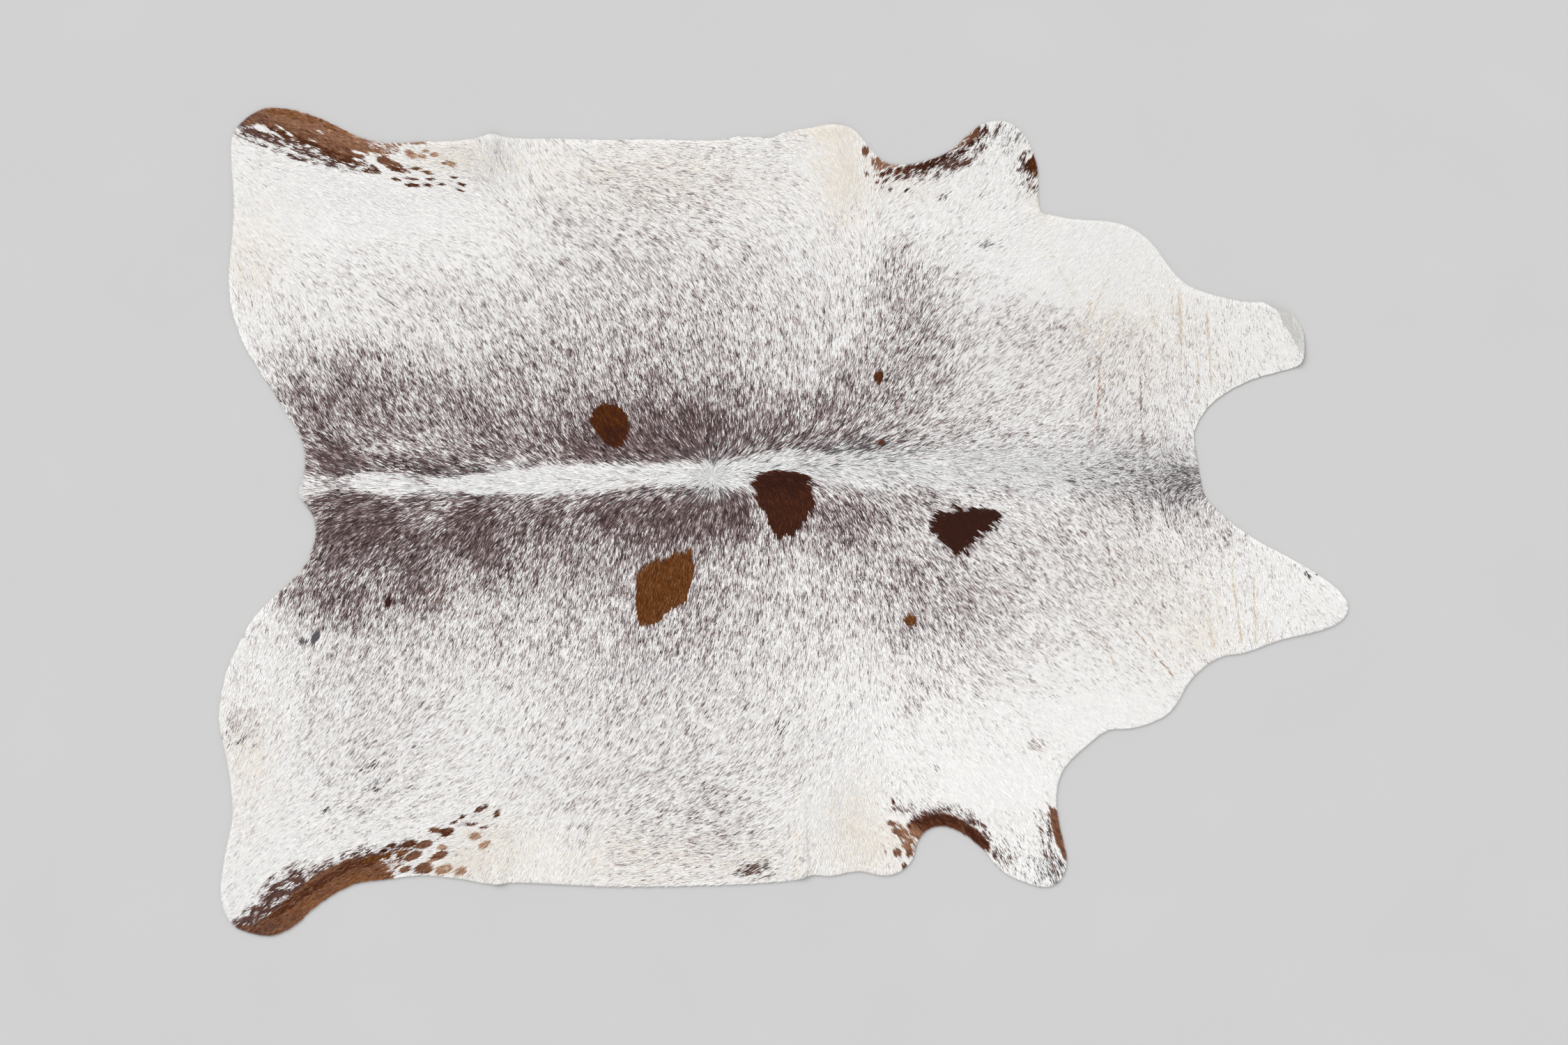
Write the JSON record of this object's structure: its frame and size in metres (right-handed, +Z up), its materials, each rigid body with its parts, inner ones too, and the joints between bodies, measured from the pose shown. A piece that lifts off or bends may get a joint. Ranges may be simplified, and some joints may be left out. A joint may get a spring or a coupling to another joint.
{
  "type": "cowhide rug",
  "caption": "Whole flat hair-on cowhide rug with its natural outline of legs, belly and neck, white and brown roan coat with a pale backbone stripe.",
  "frame": {"origin": "centre of the bounding box in plan, on the underside that rests on the floor", "axes": "+X from the tail to the neck, +Y across the hide towards the upper side of the picture, +Z up out of the coat"},
  "size_m": [2.402, 1.7612, 0.0125],
  "materials": {
    "hide": "short dense glossy hair, white mixed with dark brown, chestnut spots, on tanned leather with a plain suede underside"
  },
  "bodies": {
    "root": {"hide": "hide"}
  },
  "joints": []
}
